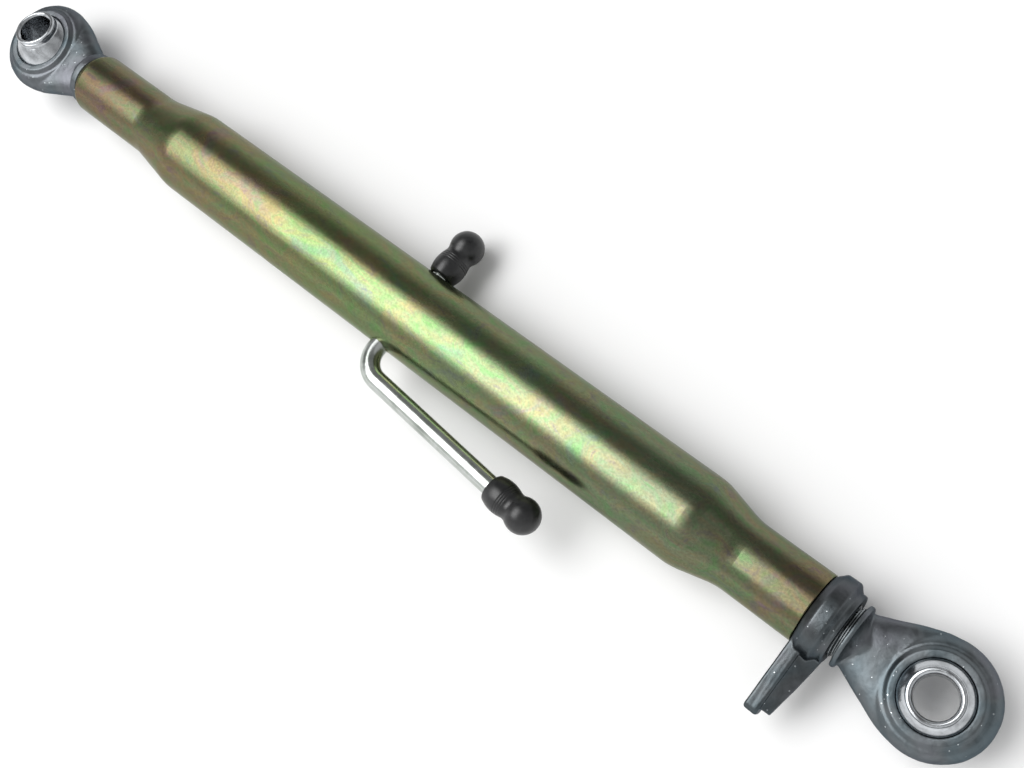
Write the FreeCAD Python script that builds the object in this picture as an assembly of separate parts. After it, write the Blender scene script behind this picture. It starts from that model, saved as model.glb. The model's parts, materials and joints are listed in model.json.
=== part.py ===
"""Tractor top link, category 2: a swaged steel turnbuckle tube with a forged ball eye screwed
into each end, a lock nut with one lever, and a swinging bent-rod handle with two grips.

Millimetres. +X runs along the link from the left ball to the right ball, +Z is the bore axis of
the eyes, and the origin is the centre of the left ball. The link is at its shortest.
"""
import FreeCAD, Part
import math
import os

V = FreeCAD.Vector
X, Y, Z = V(1, 0, 0), V(0, 1, 0), V(0, 0, 1)
ORIGIN = V(0, 0, 0)

# ---- driving dimensions -------------------------------------------------------------------

# turnbuckle tube
tube_od = 63.5                 # plain middle part
tube_wall = 5.0
tube_length = 684.0
neck_od = 48.0                 # both ends are swaged down to this and threaded inside
left_neck_length = 77.0
left_swage_length = 40.0
right_neck_length = 55.0
right_swage_length = 30.0
swage_blend = 42.0             # radius of the bends at each end of a swage
left_end_round = 5.0           # the left mouth is rolled over
right_end_round = 0.8
mouth_chamfer = 1.5            # countersink of each threaded mouth

# screw: M36 x 3, plain cylinders at its pitch diameter
shank_diameter = 34.0
shank_tip_chamfer = 2.0
thread_clearance = 0.05        # radial
shank_end_gap = 50.0           # each shank stops this far short of the handle rod

# forged eye
eye_reach = 61.3               # ball centre to the left collar's face, which meets the tube
head_radius = 36.5
face_height = 12.3             # half thickness of the head at the foot of the lip
lip_height = 13.8              # half thickness of the head at the lip
lip_outer_radius = 26.4
lip_slope_width = 1.6
lip_edge_chamfer = 0.7
flank_angle = 23.7             # degrees between a flank and the link's axis
flank_blend = 60.0             # radius that carries the head's side into the flank
flank_sink = 0.3               # how far inside the head's side the flank begins
web_height = 11.0              # half thickness between head and throat
head_squareness = 3.0          # of the web's section at the head; 2 is an ellipse
flank_points = 24              # points round each section of the web
flank_sections = 6
throat_radius = 19.8           # where the flare meets the collar
throat_sweep = 16.0            # radius of the concave flare
throat_sink = 0.5              # how far below the web's face the flare begins
collar_radius = 21.6
collar_width = 7.0
right_collar_width = 3.4       # the right eye's screw is cut this much nearer its head
collar_round = 1.6

# ball
ball_radius = 25.5
ball_width = 51.0
ball_bore = 25.7
ball_neck_diameter = 32.8
ball_edge_chamfer = 1.0
bore_chamfer = 1.2
race_clearance = 0.05          # radial
left_ball_tilt = 12.0          # degrees about X, as it lies in the eye
left_ball_lean = 4.0           # degrees about Y, away from the tube
right_ball_tilt = 0.0
right_ball_lean = 0.0

# lock nut
nut_diameter = 57.0            # the wide ring that meets the tube
nut_length = 21.0
nut_ring_width = 14.0
nut_lead = 5.0                 # cone that runs up to the ring at the tube's end
nut_boss_diameter = 48.0       # the narrower boss behind the ring
nut_step_width = 3.5           # axial run of the slope between ring and boss
nut_edge_round = 1.2
nut_step_round = 2.0
lever_reach = 71.0             # from the link's axis to the lever's tip
lever_thickness = 9.2          # along X
lever_root_width = 27.0
lever_tip_width = 17.0
lever_tip_round = 5.0
lever_edge_round = 1.5
rib_ridge_width = 5.0          # the lever's back slopes from its edges to this ridge
rib_foot_inset = 0.8           # flat strip between the lever's rounded edge and the slope
rib_tip_depth = 6.0            # how far the ridge stands behind the lever at its tip
rib_middle_depth = 9.5
rib_middle_reach = 44.0
rib_root_inset = 0.5           # the ridge leaves the nut's end face this far inside its rim
nut_stand_off = 3.9            # screw that shows between the nut and the right collar
seat_gap = 0.3                 # between the collar, tube and nut faces

# handle
rod_diameter = 14.0
rod_clearance = 0.08           # radial, in the cross hole
handle_station = 348.5         # cross hole, from the tube's left end
handle_roll = 12.0             # degrees, the cross hole's turn about the tube's axis
arm_offset = 50.8              # tube axis to the corner of the bend
arm_splay = 4.6                # degrees that the arm opens away from the tube
arm_length = 131.3             # from the corner of the bend to the long grip
bend_radius = 19.0
hole_countersink = 0.8

# grips, both from one mould
grip_mouth_radius = 9.6
grip_collar_radius = 11.9
grip_collar_station = 10.2
grip_waist_radius = 10.4
grip_waist_station = 19.7
grip_ball_radius = 12.5
grip_mouth_round = 1.2
grip_hole_depth = 30.0
grip_hole_clearance = 0.02     # radial
grip_end_gap = 1.0             # rod end to the bottom of the grip's hole
grip_gap = 0.6                 # short grip to the tube's wall

# ---- sizes worked out from them -------------------------------------------------------------

shank_radius = shank_diameter / 2
thread_radius = shank_radius + thread_clearance
rod_radius = rod_diameter / 2
cross_hole_radius = rod_radius + rod_clearance
tube_start = eye_reach + seat_gap
tube_end = tube_start + tube_length
nut_start = tube_end + seat_gap
nut_end = nut_start + nut_length
collar_start = eye_reach - collar_width
right_eye_reach = collar_start + right_collar_width
right_ball_x = nut_end + nut_stand_off + right_eye_reach
cross_hole_x = tube_start + handle_station
left_shank_length = cross_hole_x - rod_radius - shank_end_gap - eye_reach
right_collar_x = right_ball_x - right_eye_reach
right_shank_length = right_collar_x - cross_hole_x - rod_radius - shank_end_gap


# ---- helpers ----------------------------------------------------------------------------------

def line(a, b):
    return Part.makeLine(a, b)


def arc(a, middle, b):
    return Part.Arc(a, middle, b).toShape()


def revolve(edges, axis):
    """Turn a closed outline once about an axis through the origin."""
    return Part.Face(Part.Wire(edges)).revolve(ORIGIN, axis, 360)


def blended(points, radii):
    """Edges of an open outline with its inner corners rounded by tangent arcs."""
    edges = []
    start = points[0]
    for before, corner, after, radius in zip(points, points[1:], points[2:], radii):
        back = (before - corner).normalize()
        ahead = (after - corner).normalize()
        half = back.getAngle(ahead) / 2
        reach = radius / math.tan(half)
        first = corner + back * reach
        last = corner + ahead * reach
        bisector = (back + ahead).normalize()
        centre = corner + bisector * (radius / math.sin(half))
        edges.append(line(start, first))
        edges.append(arc(first, centre - bisector * radius, last))
        start = last
    edges.append(line(start, points[-1]))
    return edges


def drill(shape, radius, base, direction, length):
    return shape.cut(Part.makeCylinder(radius, length, base, direction))


def countersink(shape, radius, depth, base, direction):
    """Open a round mouth by a 45 degree cone that is widest at base."""
    return shape.cut(Part.makeCone(radius + depth, radius, depth, base, direction))


# ---- turnbuckle tube --------------------------------------------------------------------------

def tube_outline(neck, middle, end_inset):
    """Corner points, left to right, of the tube's wall at one radius per diameter."""
    left = tube_start - end_inset
    right = tube_end + end_inset
    return [
        V(left, neck, 0),
        V(tube_start + left_neck_length, neck, 0),
        V(tube_start + left_neck_length + left_swage_length, middle, 0),
        V(tube_end - right_neck_length - right_swage_length, middle, 0),
        V(tube_end - right_neck_length, neck, 0),
        V(right, neck, 0),
    ]


def tube_body(neck, middle, blend, overrun):
    """Solid of revolution within the tube's outer or inner wall."""
    wall = blended(tube_outline(neck, middle, overrun), [blend] * 4)
    left = V(tube_start - overrun, 0, 0)
    right = V(tube_end + overrun, 0, 0)
    edges = [line(left, V(left.x, neck, 0))] + wall
    edges += [line(V(right.x, neck, 0), right), line(right, left)]
    return revolve(edges, X)


def end_edge(shape, x, radius):
    """The circular edges of a shape at one place along the link and one radius."""
    found = []
    for edge in shape.Edges:
        if edge.Degenerated or not isinstance(edge.Curve, Part.Circle):
            continue
        at_place = abs(edge.Curve.Center.x - x) < 0.01
        if at_place and abs(edge.Curve.Radius - radius) < 0.01:
            found.append(edge)
    return found


def handle_direction():
    """The cross hole's axis, pointing to the short grip."""
    roll = math.radians(handle_roll)
    return V(0, math.cos(roll), -math.sin(roll))


def make_tube():
    outer = tube_body(neck_od / 2, tube_od / 2, swage_blend, 0)
    outer = outer.makeFillet(left_end_round, end_edge(outer, tube_start, neck_od / 2))
    outer = outer.makeFillet(right_end_round, end_edge(outer, tube_end, neck_od / 2))
    bore = tube_body(thread_radius, tube_od / 2 - tube_wall, swage_blend, 1)
    tube = outer.cut(bore)
    tube = countersink(tube, thread_radius, mouth_chamfer, V(tube_start, 0, 0), X)
    tube = countersink(tube, thread_radius, mouth_chamfer, V(tube_end, 0, 0), -X)
    across = handle_direction()
    centre = V(cross_hole_x, 0, 0)
    tube = drill(tube, cross_hole_radius, centre - across * tube_od, across, 2 * tube_od)
    for side in (across, -across):
        rim = math.sqrt((tube_od / 2) ** 2 - cross_hole_radius ** 2)
        mouth = centre + side * (rim + hole_countersink)
        tube = countersink(tube, cross_hole_radius, 2 * hole_countersink, mouth, -side)
    return tube


# ---- forged eye and its screw shank -------------------------------------------------------------

def eye_head():
    """Round head with a raised lip on each face, before the race is cut."""
    foot = lip_outer_radius + lip_slope_width
    top = [
        line(V(0, 0, lip_height), V(lip_outer_radius, 0, lip_height)),
        line(V(lip_outer_radius, 0, lip_height), V(foot, 0, face_height)),
    ]
    rim = [arc(V(foot, 0, face_height), V(head_radius, 0, 0), V(foot, 0, -face_height))]
    bottom = [
        line(V(foot, 0, -face_height), V(lip_outer_radius, 0, -lip_height)),
        line(V(lip_outer_radius, 0, -lip_height), V(0, 0, -lip_height)),
    ]
    return revolve(top + rim + bottom + [line(V(0, 0, -lip_height), V(0, 0, lip_height))], Z)


def flank_half_width(x):
    """Half the forging's width across the flanks: an arc off the head, then a straight taper."""
    slope = math.radians(flank_angle)
    widest = head_radius - flank_sink
    blend_run = flank_blend * math.sin(slope)
    if x < blend_run:
        return widest - flank_blend + math.sqrt(flank_blend ** 2 - x ** 2)
    blend_width = widest - flank_blend * (1 - math.cos(slope))
    return blend_width - (x - blend_run) * math.tan(slope)


def flank_section(x, squareness):
    """Closed outline across the link; squareness 2 is an ellipse and more is square-shouldered."""
    points = []
    for step in range(flank_points):
        turn = 2 * math.pi * step / flank_points
        across, up = math.cos(turn), math.sin(turn)
        y = math.copysign(flank_half_width(x) * abs(across) ** (2 / squareness), across)
        z = math.copysign(web_height * abs(up) ** (2 / squareness), up)
        points.append(V(x, y, z))
    outline = Part.BSplineCurve()
    outline.interpolate(Points=points, PeriodicFlag=True)
    return Part.Wire(outline.toShape())


def eye_flanks(end):
    """Flat forged web that tapers from the head and ends inside the collar."""
    sections = []
    for step in range(flank_sections):
        share = step / (flank_sections - 1)
        squareness = head_squareness + (2 - head_squareness) * share
        sections.append(flank_section(share * end, squareness))
    return Part.makeLoft(sections, True, False)


def eye_throat(end):
    """Round concave flare from within the web up to the foot of the collar."""
    inner = web_height - throat_sink
    climb = throat_radius - inner
    run = math.sqrt(throat_sweep ** 2 - (throat_sweep - climb) ** 2)
    start = collar_start - run
    half = math.asin(run / throat_sweep) / 2
    middle = V(
        start + throat_sweep * math.sin(half), inner + throat_sweep * (1 - math.cos(half)), 0
    )
    top = V(collar_start, throat_radius, 0)
    back = V(end, throat_radius, 0)
    edges = [
        line(V(start, 0, 0), V(start, inner, 0)),
        arc(V(start, inner, 0), middle, top),
        line(top, back),
        line(back, V(end, 0, 0)),
        line(V(end, 0, 0), V(start, 0, 0)),
    ]
    return revolve(edges, X)


def eye_collar(width):
    """Ring behind the screw; the left one bears on the tube."""
    collar = Part.makeCylinder(collar_radius, width, V(collar_start, 0, 0), X)
    return collar.makeFillet(collar_round, end_edge(collar, collar_start, collar_radius))


def eye_shank(start, length):
    shank = Part.makeCylinder(shank_radius, length, V(start, 0, 0), X)
    tip = end_edge(shank, start + length, shank_radius)
    return shank.makeChamfer(shank_tip_chamfer, tip)


def make_eye(face_width, shank_length):
    """One forging at the left end's place: head, flanks, collar and shank, less the race."""
    inside_collar = collar_start + face_width / 2
    body = [
        eye_flanks(inside_collar), eye_throat(inside_collar), eye_collar(face_width),
        eye_shank(collar_start + face_width, shank_length),
    ]
    eye = eye_head().fuse(body)
    eye = eye.removeSplitter()
    race_radius = ball_radius + race_clearance
    eye = eye.cut(Part.makeSphere(race_radius, ORIGIN, Z))
    mouth_radius = math.sqrt(race_radius ** 2 - lip_height ** 2)
    for side in (Z, -Z):
        rim = side * lip_height
        eye = countersink(eye, mouth_radius, lip_edge_chamfer, rim, -side)
    return eye


# ---- ball ----------------------------------------------------------------------------------------

def make_ball(tilt, lean):
    """Pierced ball with a turned neck at each end, tilted about X and Y in its eye."""
    end = ball_width / 2
    bore = ball_bore / 2
    neck = ball_neck_diameter / 2
    shoulder = math.sqrt(ball_radius ** 2 - neck ** 2)
    half = [
        V(bore, 0, end - bore_chamfer),
        V(bore + bore_chamfer, 0, end),
        V(neck - ball_edge_chamfer, 0, end),
        V(neck, 0, end - ball_edge_chamfer),
        V(neck, 0, shoulder),
    ]
    lower = [V(p.x, 0, -p.z) for p in reversed(half)]
    edges = [line(a, b) for a, b in zip(half, half[1:])]
    edges.append(arc(half[-1], V(ball_radius, 0, 0), lower[0]))
    edges += [line(a, b) for a, b in zip(lower, lower[1:])]
    edges.append(line(lower[-1], half[0]))
    ball = revolve(edges, Z)
    ball.rotate(ORIGIN, X, -tilt)
    ball.rotate(ORIGIN, Y, -lean)
    return ball


# ---- lock nut ------------------------------------------------------------------------------------

def lever_plate():
    """The flat lever: wide at the hub, narrower at a rounded tip, seen along X."""
    root = lever_root_width / 2
    tip = lever_tip_width / 2
    straight = lever_reach - lever_tip_round
    corner = tip - lever_tip_round
    bulge = lever_tip_round * math.sqrt(0.5)
    edges = [
        line(V(0, 0, -root), V(0, 0, root)),
        line(V(0, 0, root), V(0, -straight, tip)),
        arc(V(0, -straight, tip), V(0, -straight - bulge, corner + bulge),
            V(0, -lever_reach, corner)),
        line(V(0, -lever_reach, corner), V(0, -lever_reach, -corner)),
        arc(V(0, -lever_reach, -corner), V(0, -straight - bulge, -corner - bulge),
            V(0, -straight, -tip)),
        line(V(0, -straight, -tip), V(0, 0, -root)),
    ]
    plate = Part.Face(Part.Wire(edges)).extrude(V(lever_thickness, 0, 0))
    long_edges = [e for e in plate.Edges if e.BoundBox.YLength > lever_edge_round]
    return plate.makeFillet(lever_edge_round, long_edges)


def lever_half_width(reach):
    """Half the lever's width along Z at one distance from the link's axis."""
    share = reach / (lever_reach - lever_tip_round)
    return (lever_root_width + (lever_tip_width - lever_root_width) * share) / 2


def rib_section(reach, depth):
    """The sloping back across the lever, from inside the plate out to the ridge."""
    foot = lever_half_width(reach) - lever_edge_round - rib_foot_inset
    ridge = rib_ridge_width / 2
    inside = lever_thickness / 2
    corners = [
        V(inside, -reach, -foot), V(lever_thickness, -reach, -foot), V(depth, -reach, -ridge),
        V(depth, -reach, ridge), V(lever_thickness, -reach, foot), V(inside, -reach, foot),
    ]
    return Part.makePolygon(corners + corners[:1])


def lever_rib():
    """The ridged back of the lever, deep at the hub and shallow at the tip."""
    root_reach = nut_boss_diameter / 2 - rib_root_inset
    sections = [
        rib_section(lever_reach - lever_tip_round, lever_thickness + rib_tip_depth),
        rib_section(rib_middle_reach, lever_thickness + rib_middle_depth),
        rib_section(root_reach, nut_length),
        rib_section(0, nut_length),
    ]
    return Part.makeLoft(sections, True, True)


def nut_hub():
    """Wide ring with a lead-in cone, stepped down to a narrower boss."""
    ring = nut_diameter / 2
    boss = nut_boss_diameter / 2
    corners = [
        V(0, 0, 0), V(0, ring - nut_lead, 0), V(nut_lead, ring, 0), V(nut_ring_width, ring, 0),
        V(nut_ring_width + nut_step_width, boss, 0), V(nut_length, boss, 0), V(nut_length, 0, 0),
    ]
    rounds = [nut_edge_round, nut_step_round, nut_step_round, nut_step_round, nut_edge_round]
    return revolve(blended(corners, rounds) + [line(corners[-1], corners[0])], X)


def make_lock_nut():
    nut = nut_hub().fuse([lever_plate(), lever_rib()])
    nut = drill(nut, thread_radius, -X, X, nut_length + 2).removeSplitter()
    nut = countersink(nut, thread_radius, mouth_chamfer, ORIGIN, X)
    nut = countersink(nut, thread_radius, mouth_chamfer, V(nut_length, 0, 0), -X)
    nut.translate(V(nut_start, 0, 0))
    return nut


# ---- handle --------------------------------------------------------------------------------------

def handle_frame(shape):
    """Carry a shape from the handle's own plane to the cross hole: +Y is the hole's axis."""
    shape.rotate(ORIGIN, X, -handle_roll)
    shape.translate(V(cross_hole_x, 0, 0))
    return shape


def arm_direction():
    splay = math.radians(arm_splay)
    return V(math.cos(splay), -math.sin(splay), 0)


def short_grip_mouth():
    return tube_od / 2 + grip_gap


def make_handle_rod():
    """One bent bar: through the tube, round the bend and along the link."""
    in_grip = grip_hole_depth - grip_end_gap
    short_end = V(0, short_grip_mouth() + in_grip, 0)
    corner = V(0, -arm_offset, 0)
    long_end = corner + arm_direction() * (arm_length + in_grip)
    path = Part.Wire(blended([short_end, corner, long_end], [bend_radius]))
    section = Part.Wire(Part.makeCircle(rod_radius, short_end, Y))
    return handle_frame(path.makePipeShell([section], True, False))


def touching(centre, radius, other):
    """The point where a circle touches its neighbour, towards the neighbour's centre."""
    return centre + (other - centre).normalize() * radius


def grip_outline():
    """From the mouth to the tip: collar, hollow waist and ball, as arcs that run into each other."""
    rise = grip_collar_radius - grip_mouth_radius
    collar_sweep = (grip_collar_station ** 2 + rise ** 2) / (2 * rise)
    run = grip_waist_station - grip_collar_station
    fall = grip_collar_radius - grip_waist_radius
    waist_sweep = (run ** 2 + fall ** 2) / (2 * fall) - collar_sweep
    waist_height = grip_waist_radius + waist_sweep
    ball_run = math.sqrt((grip_ball_radius + waist_sweep) ** 2 - waist_height ** 2)
    collar_centre = V(grip_collar_station, grip_collar_radius - collar_sweep, 0)
    waist_centre = V(grip_waist_station, waist_height, 0)
    ball_centre = V(grip_waist_station + ball_run, 0, 0)
    mouth = V(0, grip_mouth_radius, 0)
    collar_end = touching(collar_centre, collar_sweep, waist_centre)
    ball_start = touching(ball_centre, grip_ball_radius, waist_centre)
    tip = ball_centre + X * grip_ball_radius
    return [
        line(ORIGIN, mouth),
        arc(mouth, V(grip_collar_station, grip_collar_radius, 0), collar_end),
        arc(collar_end, V(grip_waist_station, grip_waist_radius, 0), ball_start),
        arc(ball_start, ball_centre + Y * grip_ball_radius, tip),
        line(tip, ORIGIN),
    ]


def grip_solid():
    """Two-lobed grip about +X with its mouth at the origin and a blind hole for the rod."""
    grip = revolve(grip_outline(), X)
    grip = grip.makeFillet(grip_mouth_round, end_edge(grip, 0, grip_mouth_radius))
    return drill(grip, rod_radius + grip_hole_clearance, -X, X, grip_hole_depth + 1)


def make_long_grip():
    grip = grip_solid()
    grip.rotate(ORIGIN, Z, -arm_splay)
    grip.translate(V(0, -arm_offset, 0) + arm_direction() * arm_length)
    return handle_frame(grip)


def make_short_grip():
    grip = grip_solid()
    grip.rotate(ORIGIN, Z, 90)
    grip.translate(V(0, short_grip_mouth(), 0))
    return handle_frame(grip)


# ---- build ---------------------------------------------------------------------------------------

def at_right_end(shape):
    """Turn a left-end piece half round about Z and carry it to the right ball."""
    shape.rotate(ORIGIN, Z, 180)
    shape.translate(V(right_ball_x, 0, 0))
    return shape


nodes = {
    "tube": make_tube(),
    "left_eye": make_eye(collar_width, left_shank_length),
    "left_ball": make_ball(left_ball_tilt, left_ball_lean),
    "right_eye": at_right_end(make_eye(right_collar_width, right_shank_length)),
    "right_ball": at_right_end(make_ball(right_ball_tilt, right_ball_lean)),
    "lock_nut": make_lock_nut(),
    "handle_rod": make_handle_rod(),
    "handle_grip_long": make_long_grip(),
    "handle_grip_short": make_short_grip(),
}

os.makedirs("parts", exist_ok=True)
for name, shape in nodes.items():
    shape.exportStep("parts/" + name + ".step")
    print(name, len(shape.Solids), "solid", shape.isValid(), round(shape.Volume), "mm3")
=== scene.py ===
"""Looks of a category 2 tractor top link: plated tube, two forged ball eyes, lock nut and handle.

Metres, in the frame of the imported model: +X runs along the link from the left ball's centre and
+Z is the axis of the eyes. Shop sizes are written in millimetres, times MM.
"""
import json
import math

import bmesh
import bpy
from mathutils import Matrix, Vector, noise


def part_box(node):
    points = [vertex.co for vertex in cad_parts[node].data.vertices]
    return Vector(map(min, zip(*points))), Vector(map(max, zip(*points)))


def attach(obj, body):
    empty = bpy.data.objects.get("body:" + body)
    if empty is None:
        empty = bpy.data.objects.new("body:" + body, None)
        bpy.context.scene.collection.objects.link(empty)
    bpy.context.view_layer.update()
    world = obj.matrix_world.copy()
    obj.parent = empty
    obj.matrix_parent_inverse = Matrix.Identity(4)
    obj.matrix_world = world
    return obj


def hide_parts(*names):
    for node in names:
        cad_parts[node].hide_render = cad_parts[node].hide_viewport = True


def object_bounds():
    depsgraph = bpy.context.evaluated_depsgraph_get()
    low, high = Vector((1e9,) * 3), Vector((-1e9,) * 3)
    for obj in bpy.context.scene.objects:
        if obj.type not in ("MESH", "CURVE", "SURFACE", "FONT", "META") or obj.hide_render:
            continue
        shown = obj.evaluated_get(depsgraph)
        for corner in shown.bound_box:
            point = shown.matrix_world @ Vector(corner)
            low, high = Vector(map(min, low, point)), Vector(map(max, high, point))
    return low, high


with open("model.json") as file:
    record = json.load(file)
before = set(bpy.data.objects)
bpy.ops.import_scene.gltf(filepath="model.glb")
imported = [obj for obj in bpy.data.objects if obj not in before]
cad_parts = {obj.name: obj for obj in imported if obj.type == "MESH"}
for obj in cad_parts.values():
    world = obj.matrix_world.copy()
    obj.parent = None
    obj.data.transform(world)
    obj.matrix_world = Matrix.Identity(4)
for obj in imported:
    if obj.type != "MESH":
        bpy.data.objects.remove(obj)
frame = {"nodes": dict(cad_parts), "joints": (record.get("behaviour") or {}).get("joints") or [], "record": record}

MM = 0.001
cad_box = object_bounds()

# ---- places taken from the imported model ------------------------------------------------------

joints = {joint["name"]: joint for joint in frame["joints"]}
mounts = {mount["name"]: mount for mount in frame["record"]["mounts"]}
left_ball_centre = Vector(mounts["left_ball_bore"]["pos_m"])
right_ball_centre = Vector(mounts["right_ball_bore"]["pos_m"])
left_bore_axis = Vector(mounts["left_ball_bore"]["axis"])
right_bore_axis = Vector(mounts["right_ball_bore"]["axis"])
cross_hole = Vector(joints["handle_swing"]["pos_m"])
across = Vector(joints["handle_swing"]["axis"])
tube_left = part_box("tube")[0].x
tube_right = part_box("tube")[1].x

# ---- shop sizes ------------------------------------------------------------------------------

BALL_RADIUS = 25.5 * MM
BALL_WIDTH = 51 * MM
BALL_BORE = 25.7 * MM
BALL_NECK = 32.8 * MM
RACE_RADIUS = 25.75 * MM       # kept a little wider than the ball so that the two never touch
# Ball's end in millimetres: in from its face, and out from the bore's or the neck's radius.
BORE_MOUTH = ((1.5, 0.0), (0.35, 1.0), (0.0, 1.5))
NECK_STEPS = ((0.0, -1.3), (0.25, -0.5), (1.0, -0.05), (2.0, -0.05), (2.2, -0.35),
              (2.8, -0.35), (3.0, 0.0), (4.6, 0.0), (5.4, 0.0))

LIP_FOOT = 28 * MM
LIP_GROOVE_OUT = 1.2 * MM      # the groove's middle, outside the lip's foot
LIP_GROOVE_DEPTH = 0.55 * MM
LIP_GROOVE_WIDTH = 1.3 * MM
COLLAR_START = 54.3 * MM       # from the ball's centre
COLLAR_WIDTHS = {"left": 7 * MM, "right": 3.4 * MM}
CUT_PAST_FACE = 0.8 * MM       # the eye's mesh ends this far past its collar's face
EYE_VOXEL = 0.62 * MM
EYE_SMOOTHING = 5              # passes
NUT_VOXEL = 0.5 * MM
NUT_SMOOTHING = 4
LEVER_ROOT_Y = -28 * MM

THREAD_CREST = 18 * MM
THREAD_ROOT = 16.2 * MM
THREAD_PITCH = 3 * MM
THREAD_HALF_FOOT = 0.48        # of the pitch
THREAD_HALF_CREST = 0.09       # of the pitch
THREAD_SEGMENTS = 56           # per turn
CORE_SIDES = 96
THREAD_SUNK = 0.15             # part of the ridge's height that lies inside the core
SCREW_SHORT = 1 * MM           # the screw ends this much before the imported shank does

ARM_OFFSET = 50.8 * MM
ARM_SPLAY = math.radians(4.6)
ARM_LENGTH = 131.3 * MM
TUBE_RADIUS = 31.75 * MM
GRIP_GAP = 0.6 * MM
GRIP_GROOVES = (12.6 * MM, 14.4 * MM, 16.2 * MM)
GROOVE_DEPTH = 0.28 * MM
GROOVE_WIDTH = 0.32 * MM
GROOVE_MARGIN = 0.8 * MM       # the grip's outline is finer this near to a groove

TURNED_CREASE = math.radians(40)
THREAD_CREASE = math.radians(35)

AHEAD = Vector((1, 0, 0))
MIDDLE_X = 0.4                 # about half way along the link
FLOOR_GAP = 0.5 * MM
KEY_DIRECTION = (-0.433, -0.156, 0.888)
FILL_DIRECTION = (0.75, 0.1, 0.65)
CAMERA_PLACE = (0.8357, -0.0114, 0.7896)
CAMERA_AHEAD = (-0.3871, 0.0150, -0.9219)
CAMERA_UP = (-0.5452, 0.8026, 0.2420)
CAMERA_LENS = 45.35            # on a sensor 36 wide

MIX_FACTOR, MIX_FIRST, MIX_SECOND, MIX_RESULT = 0, 6, 7, 2    # colour sockets of a Mix node


# ---- node helpers ----------------------------------------------------------------------------

def feed(socket, value):
    """Link an output to a socket, or set the socket's constant; a colour may leave alpha out."""
    if isinstance(value, bpy.types.NodeSocket):
        socket.id_data.links.new(value, socket)
    elif isinstance(value, tuple) and len(value) == 3 and socket.type == "RGBA":
        socket.default_value = (*value, 1)
    else:
        socket.default_value = value


def add_node(tree, kind, inputs=None, **settings):
    """A node with its inputs, by name or number, linked or set, and its own settings made."""
    made = tree.nodes.new(kind)
    for key, value in settings.items():
        setattr(made, key, value)
    for key, value in (inputs or {}).items():
        feed(made.inputs[key], value)
    return made


def add_ramp(tree, value, stops):
    """Colour ramp; each stop is (place, level), the level a plain number or a colour."""
    made = add_node(tree, "ShaderNodeValToRGB", {"Fac": value})
    steps = made.color_ramp.elements
    while len(steps) < len(stops):
        steps.new(0.5)
    for step, (at, level) in zip(steps, stops):
        step.position = at
        step.color = (*level, 1) if isinstance(level, tuple) else (level,) * 3 + (1,)
    return made.outputs["Color"]


def add_mix(tree, share, first, second, mode):
    return add_node(tree, "ShaderNodeMix", {
        MIX_FACTOR: share, MIX_FIRST: first, MIX_SECOND: second,
    }, data_type="RGBA", blend_type=mode).outputs[MIX_RESULT]


class Finish:
    """A finish under construction: its node tree with short-hand makers."""

    def __init__(self, name):
        self.material = bpy.data.materials.new(name)
        self.material.use_nodes = True
        self.tree = self.material.node_tree
        self.shader = self.tree.nodes["Principled BSDF"]
        self.place = self.tree.nodes.new("ShaderNodeTexCoord").outputs["Object"]

    def node(self, kind, inputs=None, **settings):
        return add_node(self.tree, kind, inputs, **settings)

    def stretched(self, scale, shift=(0, 0, 0)):
        return self.node("ShaderNodeMapping", {
            "Vector": self.place, "Scale": scale, "Location": shift,
        }).outputs[0]

    def noise(self, scale, detail=3.0, roughness=0.55, distortion=0.0, place=None):
        return self.node("ShaderNodeTexNoise", {
            "Vector": place or self.place, "Scale": scale, "Detail": detail,
            "Roughness": roughness, "Distortion": distortion,
        }).outputs["Fac"]

    def grains(self, scale):
        """Random value per grain, and how far a point is from its grain's middle."""
        made = self.node("ShaderNodeTexVoronoi", {"Vector": self.place, "Scale": scale})
        return made.outputs["Color"], made.outputs["Distance"]

    def ramp(self, value, stops):
        return add_ramp(self.tree, value, stops)

    def mix(self, share, first, second, mode="MIX"):
        return add_mix(self.tree, share, first, second, mode)

    def maths(self, operation, first, second):
        return self.node("ShaderNodeMath", {0: first, 1: second}, operation=operation).outputs[0]

    def span(self, value, low, high, start=0.0, end=1.0):
        return self.node("ShaderNodeMapRange", {
            "Value": value, "From Min": start, "From Max": end, "To Min": low, "To Max": high,
        }).outputs[0]

    def along(self, axis, origin=(0, 0, 0)):
        """Distance of a point from the origin along an axis."""
        shifted = self.node("ShaderNodeVectorMath", {0: self.place, 1: Vector(origin)},
                            operation="SUBTRACT").outputs[0]
        return self.node("ShaderNodeVectorMath", {0: shifted, 1: Vector(axis)},
                         operation="DOT_PRODUCT").outputs["Value"]

    def bump(self, height, distance, strength=1.0, below=None):
        inputs = {"Height": height, "Strength": strength, "Distance": distance}
        if below:
            inputs["Normal"] = below
        return self.node("ShaderNodeBump", inputs).outputs[0]

    def finish(self, **sockets):
        for key, value in sockets.items():
            feed(self.shader.inputs[key.replace("_", " ")], value)
        return self.material


# ---- finishes --------------------------------------------------------------------------------

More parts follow.
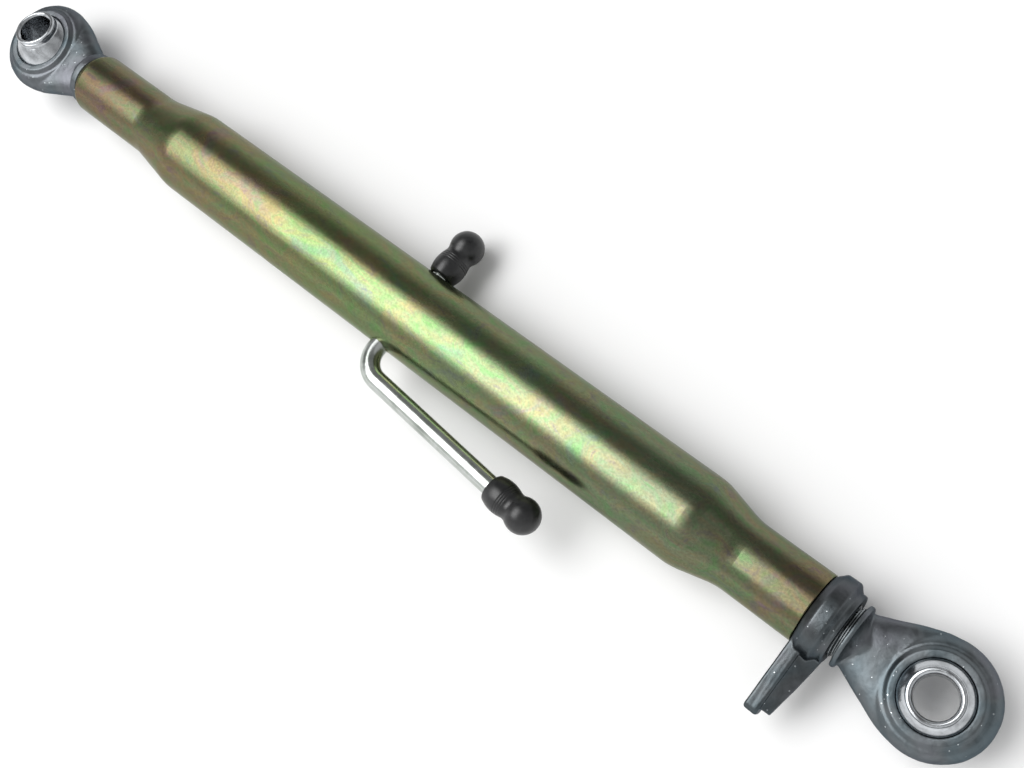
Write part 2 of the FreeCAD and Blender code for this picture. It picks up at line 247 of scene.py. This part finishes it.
def make_yellow_chromate():
    """Yellow passivated zinc: olive metal with drifting green, straw, violet and teal clouds."""
    made = Finish("yellow_chromate")
    station = made.span(made.along((1, 0, 0)), 0, 1, tube_left, tube_right)
    ground = made.ramp(station, [
        (0.02, (0.140, 0.124, 0.084)), (0.16, (0.158, 0.154, 0.092)),
        (0.40, (0.156, 0.172, 0.088)), (0.62, (0.150, 0.178, 0.104)),
        (0.84, (0.136, 0.160, 0.104)), (1.00, (0.140, 0.140, 0.088)),
    ])
    drift = made.noise(1.0, 3, 0.6, 1.2, made.stretched((16, 34, 34)))
    clouds = made.ramp(drift, [
        (0.30, (0.80, 0.95, 1.16)), (0.41, (0.90, 1.08, 0.90)), (0.50, (1.0, 1.0, 1.0)),
        (0.58, (1.12, 1.02, 0.90)), (0.70, (1.06, 0.88, 1.18)),
    ])
    patches = made.noise(1.0, 4, 0.62, 2.0, made.stretched((42, 75, 75), (3, 1, 2)))
    stains = made.ramp(patches, [
        (0.32, (0.78, 1.06, 0.82)), (0.47, (1.0, 1.0, 1.0)), (0.56, (1.10, 0.97, 0.92)),
        (0.68, (0.92, 0.78, 1.05)),
    ])
    fine = made.noise(620, 2, 0.6)
    speckle = made.ramp(fine, [(0.35, 0.88), (0.65, 1.12)])
    colour = made.mix(1.0, ground, clouds, "MULTIPLY")
    colour = made.mix(1.0, colour, stains, "MULTIPLY")
    colour = made.mix(1.0, colour, speckle, "MULTIPLY")
    gloss = made.span(made.noise(1.0, 3, 0.6, 0.5, made.stretched((30, 60, 60), (9, 4, 7))),
                      0.20, 0.30, 0.3, 0.7)
    drawn = made.noise(1.0, 2, 0.5, 0.0, made.stretched((25, 520, 520)))
    peel = made.noise(260, 2, 0.5)
    skin = made.bump(peel, 0.03 * MM, 0.7, made.bump(drawn, 0.02 * MM, 0.6))
    return made.finish(Base_Color=colour, Metallic=1.0, Roughness=gloss, Normal=skin,
                       Specular_Tint=(0.7, 0.72, 0.66, 1))


def make_zinc_forging(name, shade, gloss):
    """Zinc over a forged skin: blotchy blue-grey with scale marks and scattered glints."""
    made = Finish(name)
    blotch = made.noise(95, 4, 0.62, 0.8)
    colour = made.ramp(blotch, [
        (0.30, tuple(0.82 * c for c in shade)), (0.48, shade),
        (0.66, tuple(1.18 * c for c in shade)),
    ])
    wash = made.noise(34, 2, 0.5, 0.4)
    colour = made.mix(1.0, colour, made.ramp(wash, [
        (0.34, (0.82, 0.92, 0.96)), (0.52, (1.0, 1.0, 1.0)), (0.70, (1.10, 1.03, 1.08)),
    ]), "MULTIPLY")
    random, distance = made.grains(560)
    glints = made.maths("GREATER_THAN", made.node(
        "ShaderNodeSeparateColor", {"Color": random}).outputs[0], 0.955)
    close = made.maths("LESS_THAN", distance, 0.26)
    glints = made.maths("MULTIPLY", glints, close)
    colour = made.mix(made.maths("MULTIPLY", glints, 0.55), colour, (0.62, 0.66, 0.68))
    rough = made.span(blotch, gloss - 0.07, gloss + 0.09, 0.3, 0.7)
    rough = made.maths("SUBTRACT", rough, made.maths("MULTIPLY", glints, 0.2))
    scale = made.bump(made.noise(150, 3, 0.6, 0.5), 0.22 * MM, 0.8)
    grain = made.bump(made.noise(640, 2, 0.6), 0.05 * MM, 0.8, scale)
    facets = made.bump(made.maths("MULTIPLY", glints, distance), 0.2 * MM, 0.6, grain)
    return made.finish(Base_Color=colour, Metallic=1.0, Roughness=rough, Normal=facets,
                       Specular_Tint=(0.45, 0.47, 0.5, 1))


def make_turned(name, shade, gloss, lines, depth):
    """Bright turned metal whose fine lines run round the piece; V of its UV map is along it."""
    made = Finish(name)
    uv = made.node("ShaderNodeUVMap", uv_map="turned").outputs[0]
    split = made.node("ShaderNodeSeparateXYZ", {"Vector": uv})
    profile = made.node("ShaderNodeCombineXYZ", {
        "X": made.maths("MULTIPLY", split.outputs["X"], 0.02), "Y": split.outputs["Y"],
    }).outputs[0]
    turning = made.noise(lines, 3, 0.7, 0.0, profile)
    cloud = made.noise(120, 3, 0.6, 0.6)
    colour = made.ramp(cloud, [
        (0.32, tuple(0.72 * c for c in shade)), (0.50, shade),
        (0.68, tuple(1.16 * c for c in shade)),
    ])
    colour = made.mix(1.0, colour, made.ramp(turning, [(0.3, 0.86), (0.7, 1.1)]), "MULTIPLY")
    rough = made.span(cloud, gloss * 0.7, gloss * 1.6, 0.3, 0.7)
    distance = made.grains(900)[1]
    pits = made.maths("LESS_THAN", distance, 0.18)
    skin = made.bump(turning, depth, 1.0)
    skin = made.bump(made.maths("SUBTRACT", 1.0, pits), 0.03 * MM, 0.4, skin)
    return made.finish(Base_Color=colour, Metallic=1.0, Roughness=rough, Normal=skin)


def make_bright_rod():
    """Bright drawn bar under thin zinc: long faint draw lines and dull finger marks."""
    made = Finish("zinc_rod")
    dull = made.noise(60, 3, 0.6, 0.7)
    colour = made.ramp(dull, [
        (0.32, (0.34, 0.37, 0.34)), (0.50, (0.46, 0.49, 0.46)), (0.68, (0.56, 0.58, 0.57)),
    ])
    drawn = made.noise(1.0, 2, 0.6, 0.0, made.stretched((40, 900, 900)))
    rough = made.span(dull, 0.12, 0.26, 0.3, 0.7)
    fine = made.noise(700, 2, 0.6)
    skin = made.bump(fine, 0.02 * MM, 0.7, made.bump(drawn, 0.02 * MM, 0.7))
    return made.finish(Base_Color=colour, Metallic=1.0, Roughness=rough, Normal=skin)


def make_black_grip():
    """Moulded black plastic, satin with a faint leathery pebble and paler rubbed spots."""
    made = Finish("black_grip")
    rubbed = made.noise(140, 3, 0.6, 0.5)
    colour = made.ramp(rubbed, [
        (0.35, (0.0065, 0.0068, 0.0072)), (0.55, (0.0105, 0.0108, 0.0115)),
        (0.75, (0.022, 0.023, 0.024)),
    ])
    rough = made.span(rubbed, 0.26, 0.42, 0.3, 0.7)
    pebble = made.bump(made.noise(850, 2, 0.5), 0.03 * MM, 0.6)
    wave = made.bump(made.noise(110, 2, 0.5), 0.12 * MM, 0.5, pebble)
    return made.finish(Base_Color=colour, Roughness=rough, Normal=wave, Specular_IOR_Level=0.5)


yellow_chromate = make_yellow_chromate()
zinc_forging = make_zinc_forging("zinc_forging", (0.128, 0.142, 0.150), 0.42)
dark_zinc = make_zinc_forging("dark_zinc", (0.085, 0.093, 0.098), 0.34)
bright_ball = make_turned("bright_ball", (0.46, 0.48, 0.50), 0.14, 2600, 0.012 * MM)
zinc_screw = make_turned("zinc_screw", (0.24, 0.26, 0.27), 0.25, 1500, 0.01 * MM)
zinc_rod = make_bright_rod()
black_grip = make_black_grip()

for node, material in (("tube", yellow_chromate), ("handle_rod", zinc_rod),
                       ("left_eye", zinc_forging), ("right_eye", zinc_forging),
                       ("left_ball", bright_ball), ("right_ball", bright_ball),
                       ("lock_nut", dark_zinc), ("handle_grip_long", black_grip),
                       ("handle_grip_short", black_grip)):
    frame["nodes"][node].data.materials[0] = material


# ---- mesh helpers ----------------------------------------------------------------------------

def shown(name, mesh):
    made = bpy.data.objects.new(name, mesh)
    bpy.context.scene.collection.objects.link(made)
    return made


def settled(made):
    """Replace a piece's live modifiers by the plain mesh that they give."""
    graph = bpy.context.evaluated_depsgraph_get()
    mesh = bpy.data.meshes.new_from_object(made.evaluated_get(graph))
    made.modifiers.clear()
    made.data = mesh
    return made


def set_finish(made, material):
    made.data.materials.clear()
    made.data.materials.append(material)


def lathe(name, outline, material, stand, closed, sides=144):
    """Turned piece: outline holds (along, radius), and stand carries its +Z to the axis."""
    mesh = bpy.data.meshes.new(name)
    shape = bmesh.new()
    turned = shape.loops.layers.uv.new("turned")
    travel = [0.0]
    for (z0, r0), (z1, r1) in zip(outline, outline[1:] + outline[:1]):
        travel.append(travel[-1] + math.hypot(z1 - z0, r1 - r0))
    rings = []
    for z, radius in outline:
        count = sides if radius > 0 else 1
        turns = [2 * math.pi * k / sides for k in range(count)]
        rings.append([
            shape.verts.new((radius * math.cos(t), radius * math.sin(t), z)) for t in turns
        ])
    pairs = range(len(rings) if closed else len(rings) - 1)
    for at in pairs:
        below, above = rings[at], rings[(at + 1) % len(rings)]
        for k in range(sides):
            corners = [
                (ring[turn % len(ring)], turn, station) for ring, turn, station in (
                    (below, k, at), (below, k + 1, at), (above, k + 1, at + 1), (above, k, at + 1))
            ]
            unique = [c for n, c in enumerate(corners) if c[0] not in [d[0] for d in corners[:n]]]
            face = shape.faces.new([c[0] for c in unique])
            face.smooth = True
            for loop, (_, turn, station) in zip(face.loops, unique):
                loop[turned].uv = (turn / sides, travel[station])
    bmesh.ops.recalc_face_normals(shape, faces=shape.faces)
    shape.to_mesh(mesh)
    shape.free()
    mesh.transform(stand)
    mesh.set_sharp_from_angle(angle=TURNED_CREASE)
    made = shown(name, mesh)
    set_finish(made, material)
    return made


def standing(origin, axis):
    """Matrix that carries +Z to an axis through an origin."""
    turn = Vector(axis).to_track_quat("Z", "Y").to_matrix().to_4x4()
    return Matrix.Translation(origin) @ turn


def bow(centre, radius, start, end, steps):
    """Points of an arc, (along, radius) about a centre, from one angle to another."""
    points = []
    for k in range(steps + 1):
        turn = start + (end - start) * k / steps
        points.append((centre[0] + radius * math.sin(turn), centre[1] + radius * math.cos(turn)))
    return points


# ---- forged pieces ---------------------------------------------------------------------------

def forged_copy(node, name, voxel, passes, cut=None):
    """Copy of a CAD node with its edges softened; cut is (place, direction) of what comes off."""
    mesh = frame["nodes"][node].data.copy()
    shape = bmesh.new()
    shape.from_mesh(mesh)
    bmesh.ops.remove_doubles(shape, verts=shape.verts, dist=0.001 * MM)
    if cut:
        bmesh.ops.bisect_plane(
            shape, geom=shape.verts[:] + shape.edges[:] + shape.faces[:],
            plane_co=cut[0], plane_no=cut[1], clear_outer=True)
        rim = [edge for edge in shape.edges if edge.is_boundary]
        bmesh.ops.holes_fill(shape, edges=rim, sides=0)
    shape.to_mesh(mesh)
    shape.free()
    made = shown(name, mesh)
    skin = made.modifiers.new("skin", "REMESH")
    skin.mode = "VOXEL"
    skin.voxel_size = voxel
    skin.use_smooth_shade = True
    soften = made.modifiers.new("soften", "SMOOTH")
    soften.factor = 0.5
    soften.iterations = passes
    return settled(made)


def bell(value, width):
    """Smooth hump that is 1 at 0 and dies away over a width."""
    return math.exp(-(value / width) ** 2)


def ripple(place, height, waves):
    """Uneven rise and fall of a skin, with so many waves to the metre."""
    return height * noise.noise(place * waves)


def hammer(made, centre, depth_of):
    """Push each point of a forging out along its normal by depth_of(from the centre, place)."""
    mesh = made.data
    normals = [vertex.normal.copy() for vertex in mesh.vertices]
    for vertex, normal in zip(mesh.vertices, normals):
        vertex.co += normal * depth_of(vertex.co - centre, vertex.co)
    mesh.update()


def clear_race(made, centre):
    """Keep the forging clear of its ball all round."""
    for vertex in made.data.vertices:
        local = vertex.co - centre
        if local.length < RACE_RADIUS:
            vertex.co = centre + local.normalized() * RACE_RADIUS


def forging_marks(local, place):
    """Marks of an eye: the groove round its lip's foot, a wavy rim and a rough skin."""
    out = Vector((local.x, local.y)).length
    depth = ripple(place, 0.10 * MM, 120) + ripple(place, 0.05 * MM, 330)
    on_face = abs(local.z) > 8 * MM and out > 20 * MM
    on_rim = out > 31 * MM and abs(local.x) > 15 * MM
    if on_face:
        depth -= LIP_GROOVE_DEPTH * bell(out - LIP_FOOT - LIP_GROOVE_OUT, LIP_GROOVE_WIDTH)
    if on_rim:
        depth += ripple(place, 0.25 * MM, 60)
    return depth


def make_eye(side, centre, ahead):
    """A forged eye up to its collar's face; its screw is a piece of its own."""
    face = COLLAR_START + COLLAR_WIDTHS[side]
    cut = (centre + ahead * (face + CUT_PAST_FACE), ahead)
    made = forged_copy(side + "_eye", side + "_forging", EYE_VOXEL, EYE_SMOOTHING, cut)
    hammer(made, centre, forging_marks)
    clear_race(made, centre)
    set_finish(made, zinc_forging)
    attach(made, side + "_end")
    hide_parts(side + "_eye")


def nut_marks(local, place):
    """Rough skin of the nut, with drawn lines along its lever."""
    depth = ripple(place, 0.08 * MM, 160)
    if local.y < LEVER_ROOT_Y:
        drawn = Vector((place.x * 520, place.y * 40, place.z * 520))
        depth += ripple(drawn, 0.10 * MM, 1)
    return depth


def make_lock_nut():
    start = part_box("lock_nut")[0].x
    made = forged_copy("lock_nut", "lock_nut_forging", NUT_VOXEL, NUT_SMOOTHING)
    hammer(made, Vector((start, 0, 0)), nut_marks)
    set_finish(made, dark_zinc)
    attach(made, "lock_nut")
    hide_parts("lock_nut")


# ---- screws ----------------------------------------------------------------------------------

def thread_tree():
    """Node tree of a round bar with a helical ridge; it stands on the origin along +Z."""
    tree = bpy.data.node_groups.new("screw_thread", "GeometryNodeTree")
    sockets = {}
    for label, kind in (("Length", "NodeSocketFloat"), ("Root Radius", "NodeSocketFloat"),
                        ("Crest Radius", "NodeSocketFloat"), ("Pitch", "NodeSocketFloat"),
                        ("Left Hand", "NodeSocketBool"), ("Steel", "NodeSocketMaterial")):
        made = tree.interface.new_socket(label, in_out="INPUT", socket_type=kind)
        sockets[label] = made.identifier
    tree.interface.new_socket("Screw", in_out="OUTPUT", socket_type="NodeSocketGeometry")
    given = tree.nodes.new("NodeGroupInput").outputs
    result = tree.nodes.new("NodeGroupOutput")

    def node(kind, inputs=None, **settings):
        return add_node(tree, kind, inputs, **settings).outputs

    def sums(operation, first, second):
        return node("ShaderNodeMath", {0: first, 1: second}, operation=operation)[0]

    turns = sums("DIVIDE", given["Length"], given["Pitch"])
    helix = node("GeometryNodeCurveSpiral", {
        "Resolution": THREAD_SEGMENTS, "Rotations": turns, "Start Radius": given["Root Radius"],
        "End Radius": given["Root Radius"], "Height": given["Length"],
        "Reverse": given["Left Hand"],
    })[0]
    helix = node("GeometryNodeSetCurveNormal", {"Curve": helix}, mode="Z_UP")[0]
    rise = sums("SUBTRACT", given["Crest Radius"], given["Root Radius"])
    half_foot = sums("MULTIPLY", given["Pitch"], THREAD_HALF_FOOT)
    half_crest = sums("MULTIPLY", given["Pitch"], THREAD_HALF_CREST)
    sunk = sums("MULTIPLY", rise, -THREAD_SUNK)
    corners = [
        node("ShaderNodeCombineXYZ", {"X": x, "Y": y})[0] for x, y in (
            (sunk, sums("MULTIPLY", half_foot, -1.0)), (rise, sums("MULTIPLY", half_crest, -1.0)),
            (rise, half_crest), (sunk, half_foot))
    ]
    ridge = node("GeometryNodeCurvePrimitiveQuadrilateral", {
        "Point 1": corners[0], "Point 2": corners[1], "Point 3": corners[2], "Point 4": corners[3],
    }, mode="POINTS")[0]
    ridge = node("GeometryNodeCurveToMesh", {
        "Curve": helix, "Profile Curve": ridge, "Fill Caps": True,
    })[0]
    top = node("ShaderNodeCombineXYZ", {"Z": given["Length"]})[0]
    core = node("GeometryNodeCurvePrimitiveLine", {"End": top})[0]
    ring = node("GeometryNodeCurvePrimitiveCircle", {
        "Resolution": CORE_SIDES, "Radius": given["Root Radius"],
    })[0]
    core = node("GeometryNodeCurveToMesh", {
        "Curve": core, "Profile Curve": ring, "Fill Caps": True,
    })[0]
    joined = tree.nodes.new("GeometryNodeJoinGeometry")
    tree.links.new(core, joined.inputs[0])
    tree.links.new(ridge, joined.inputs[0])
    real = node("GeometryNodeRealizeInstances", {"Geometry": joined.outputs[0]})[0]
    painted = node("GeometryNodeSetMaterial", {"Geometry": real, "Material": given["Steel"]})[0]
    tree.links.new(painted, result.inputs[0])
    return tree, sockets


def make_screw(side, centre, ahead, tree, sockets):
    """The screw of one eye, from its collar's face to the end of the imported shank."""
    face = COLLAR_START + COLLAR_WIDTHS[side]
    low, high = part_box(side + "_eye")
    tip = max(abs(low.x - centre.x), abs(high.x - centre.x))
    made = shown(side + "_screw", bpy.data.meshes.new(side + "_screw"))
    build = made.modifiers.new("thread", "NODES")
    build.node_group = tree
    given = {
        "Length": tip - face - SCREW_SHORT,
        "Root Radius": THREAD_ROOT,
        "Crest Radius": THREAD_CREST,
        "Pitch": THREAD_PITCH,
        "Left Hand": side == "right",
        "Steel": zinc_screw,
    }
    for label, value in given.items():
        build[sockets[label]] = value
    settled(made)
    made.data.transform(standing(centre + ahead * face, ahead))
    made.data.set_sharp_from_angle(angle=THREAD_CREASE)
    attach(made, side + "_end")


# ---- balls -----------------------------------------------------------------------------------

def ball_outline():
    """Bore, end face, grooved neck and sphere, from the top end of the bore round to it again."""
    end = BALL_WIDTH / 2
    bore = BALL_BORE / 2
    neck = BALL_NECK / 2
    shoulder = math.asin((neck + 0.2 * MM) / BALL_RADIUS)
    half = [(0.0, bore)]
    half += [(end - inward * MM, bore + out * MM) for inward, out in BORE_MOUTH]
    half += [(end - inward * MM, neck + out * MM) for inward, out in NECK_STEPS]
    sphere = bow((0, 0), BALL_RADIUS, math.pi / 2 - shoulder, shoulder - math.pi / 2, 64)
    lower = [(-z, r) for z, r in reversed(half[1:])]
    return half + sphere + lower


def make_ball(side, centre, axis):
    made = lathe(side + "_pierced_ball", ball_outline(), bright_ball, standing(centre, axis), True)
    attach(made, side + "_ball")
    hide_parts(side + "_ball")


# ---- grips -----------------------------------------------------------------------------------

def grip_outline():
    """From the bottom of the hole out of the mouth and over both lobes to the tip."""
    mouth, collar, waist, ball = 9.6 * MM, 11.9 * MM, 10.4 * MM, 12.5 * MM
    collar_at, waist_at, hole, depth = 10.2 * MM, 19.7 * MM, 7.05 * MM, 30 * MM
    collar_bow = (collar_at ** 2 + (collar - mouth) ** 2) / (2 * (collar - mouth))
    run, fall = waist_at - collar_at, collar - waist
    waist_bow = (run ** 2 + fall ** 2) / (2 * fall) - collar_bow
    waist_height = waist + waist_bow
    ball_run = math.sqrt((ball + waist_bow) ** 2 - waist_height ** 2)
    join = math.atan2(run, waist_height - (collar - collar_bow))
    blend = math.atan2(ball_run, waist_height)
    start = -math.asin((collar_at - 1.0 * MM) / collar_bow)
    outer = bow((collar_at, collar - collar_bow), collar_bow, start, join, 26)
    outer += bow((waist_at, waist_height), -waist_bow, join, -blend, 14)[1:]
    outer += bow((waist_at + ball_run, 0), ball, -blend, math.pi / 2, 40)[1:-1]
    ringed = [(z, r - GROOVE_DEPTH * sum(bell(z - g, GROOVE_WIDTH) for g in GRIP_GROOVES))
              for z, r in refined(outer)]
    rim = [(0.0, hole + 0.6 * MM), (0.0, mouth - 1.1 * MM), (0.3 * MM, mouth - 0.35 * MM)]
    tip = (waist_at + ball_run + ball, 0.0)
    return [(depth, 0.0), (depth, hole), (0.5 * MM, hole)] + rim + ringed + [tip]


def refined(points):
    """Add points between those that lie near the grip's ring grooves."""
    finer = []
    for (z0, r0), (z1, r1) in zip(points, points[1:]):
        near = any(min(z0, z1) - GROOVE_MARGIN < g < max(z0, z1) + GROOVE_MARGIN
                   for g in GRIP_GROOVES)
        pieces = 6 if near else 1
        for k in range(pieces):
            share = k / pieces
            finer.append((z0 + (z1 - z0) * share, r0 + (r1 - r0) * share))
    return finer + points[-1:]


def make_grip(side, origin, axis):
    made = lathe("grip_" + side, grip_outline(), black_grip, standing(origin, axis), False, 96)
    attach(made, "handle")
    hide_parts("handle_grip_" + side)


# ---- floor, light and camera -----------------------------------------------------------------

def floor():
    """A wide pale disc under the link."""
    mesh = bpy.data.meshes.new("floor")
    shape = bmesh.new()
    bmesh.ops.create_circle(shape, cap_ends=True, radius=12, segments=96)
    shape.to_mesh(mesh)
    shape.free()
    mesh.transform(Matrix.Translation((MIDDLE_X, 0, cad_box[0].z - FLOOR_GAP)))
    made = shown("floor", mesh)
    pale = Finish("floor_paint")
    tone = pale.ramp(pale.noise(3, 2), [(0.3, 0.865), (0.7, 0.875)])
    mesh.materials.append(pale.finish(Base_Color=tone, Roughness=0.9))


def softbox(name, towards, distance, half_wide, half_deep, radiance):
    """A far rectangular lamp; its half sizes are angles as seen from the link."""
    data = bpy.data.lights.new(name, "AREA")
    data.shape = "RECTANGLE"
    data.size = 2 * distance * math.tan(math.radians(half_wide))
    data.size_y = 2 * distance * math.tan(math.radians(half_deep))
    data.energy = radiance * math.pi * data.size * data.size_y
    made = bpy.data.objects.new(name, data)
    back = Vector(towards).normalized()
    made.location = Vector((MIDDLE_X, 0, 0)) + back * distance
    side = Vector((1, 0, 0)) - back * back.x
    side.normalize()
    up = back.cross(side)
    turn = Matrix((side, up, back)).transposed()
    made.rotation_euler = turn.to_euler()
    bpy.context.scene.collection.objects.link(made)


def sun(name, towards, strength, angle):
    """A far lamp whose disc is angle degrees wide, shining from the direction given."""
    data = bpy.data.lights.new(name, "SUN")
    data.energy = strength
    data.angle = math.radians(angle)
    made = bpy.data.objects.new(name, data)
    made.rotation_euler = Vector(towards).to_track_quat("Z", "Y").to_euler()
    bpy.context.scene.collection.objects.link(made)


def surroundings():
    """Dim ceiling, paler towards -Y and at the horizon."""
    world = bpy.data.worlds.new("studio")
    bpy.context.scene.world = world
    world.use_nodes = True
    tree = world.node_tree
    place = add_node(tree, "ShaderNodeTexCoord").outputs["Generated"]
    split = add_node(tree, "ShaderNodeSeparateXYZ", {0: place})
    height = add_ramp(tree, split.outputs["Z"], [(0.08, 0.78), (0.40, 0.26)])
    lift = add_node(tree, "ShaderNodeMath", {0: split.outputs["Y"], 1: -0.5, 2: 0.5},
                    operation="MULTIPLY_ADD").outputs[0]
    side = add_ramp(tree, lift, [(0.52, 0.0), (0.80, 0.6)])
    feed(tree.nodes["Background"].inputs["Color"], add_mix(tree, 1.0, height, side, "ADD"))


def camera():
    """The camera of the main view, above the link's right end."""
    data = bpy.data.cameras.new("camera")
    data.lens = CAMERA_LENS
    data.sensor_width = 36
    data.clip_start = 0.01
    made = bpy.data.objects.new("camera", data)
    bpy.context.scene.collection.objects.link(made)
    ahead = Vector(CAMERA_AHEAD).normalized()
    right = ahead.cross(Vector(CAMERA_UP)).normalized()
    up = right.cross(ahead)
    turn = Matrix((right, up, -ahead)).transposed().to_4x4()
    made.matrix_world = Matrix.Translation(CAMERA_PLACE) @ turn
    bpy.context.scene.camera = made


# ---- build -----------------------------------------------------------------------------------

make_eye("left", left_ball_centre, AHEAD)
make_eye("right", right_ball_centre, -AHEAD)
thread, thread_sockets = thread_tree()
make_screw("left", left_ball_centre, AHEAD, thread, thread_sockets)
make_screw("right", right_ball_centre, -AHEAD, thread, thread_sockets)
make_ball("left", left_ball_centre, left_bore_axis)
make_ball("right", right_ball_centre, right_bore_axis)
make_lock_nut()

arm = AHEAD * math.cos(ARM_SPLAY) - across * math.sin(ARM_SPLAY)
make_grip("long", cross_hole - across * ARM_OFFSET + arm * ARM_LENGTH, arm)
make_grip("short", cross_hole + across * (TUBE_RADIUS + GRIP_GAP), across)

floor()
softbox("key", KEY_DIRECTION, distance=20, half_wide=14, half_deep=21, radiance=3.6)
softbox("key_halo", KEY_DIRECTION, distance=19, half_wide=21, half_deep=31, radiance=1.9)
sun("fill", FILL_DIRECTION, strength=0.35, angle=80)
surroundings()
camera()
bpy.context.scene.view_settings.view_transform = "Standard"
